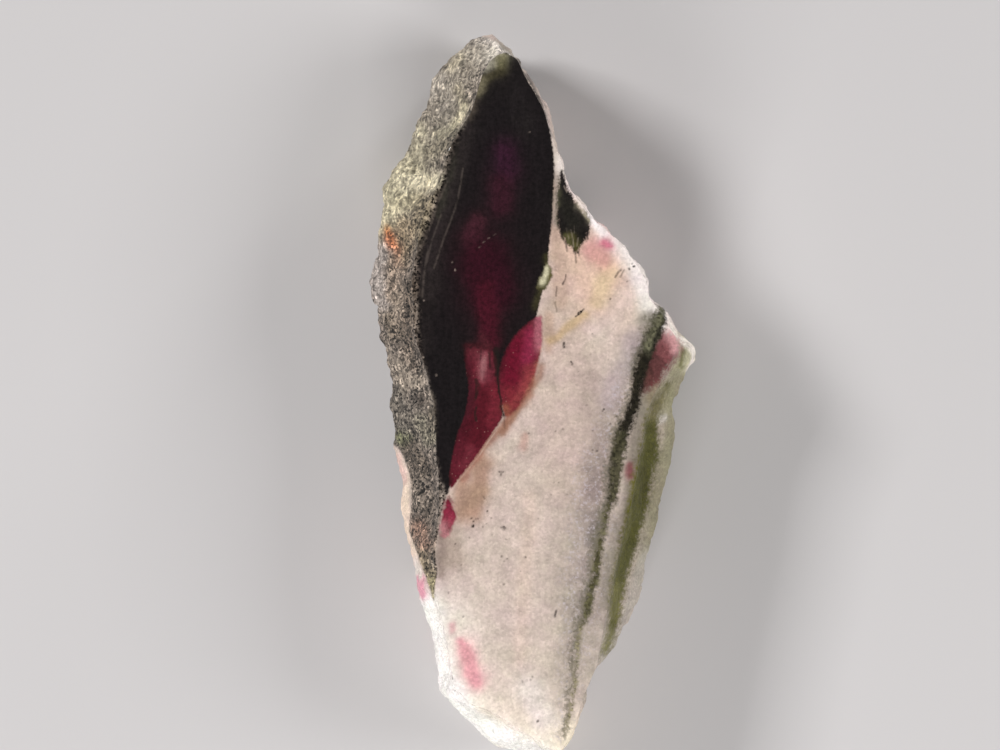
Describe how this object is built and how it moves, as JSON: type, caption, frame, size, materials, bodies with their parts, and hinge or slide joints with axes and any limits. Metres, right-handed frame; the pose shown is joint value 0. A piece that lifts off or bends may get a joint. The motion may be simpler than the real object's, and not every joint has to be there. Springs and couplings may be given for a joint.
{
  "type": "polished eudialyte slab",
  "caption": "Elongated broken stone slab with a polished face: black and white rock with magenta eudialyte and olive veins, lying on its sawn back.",
  "frame": {"origin": "on the plane of the sawn back, under the middle of the stone's outline", "axes": "+Z out of the polished face, +Y along the stone to its narrow tip, +X across it to the olive flank"},
  "size_m": [0.0276, 0.0612, 0.014],
  "materials": {
    "stone": "polished front face, rough broken flanks, matt sawn back; white albite, black amphibole, magenta eudialyte, olive veins"
  },
  "bodies": {
    "root": {"eudialyte_slab": "stone"}
  },
  "joints": []
}
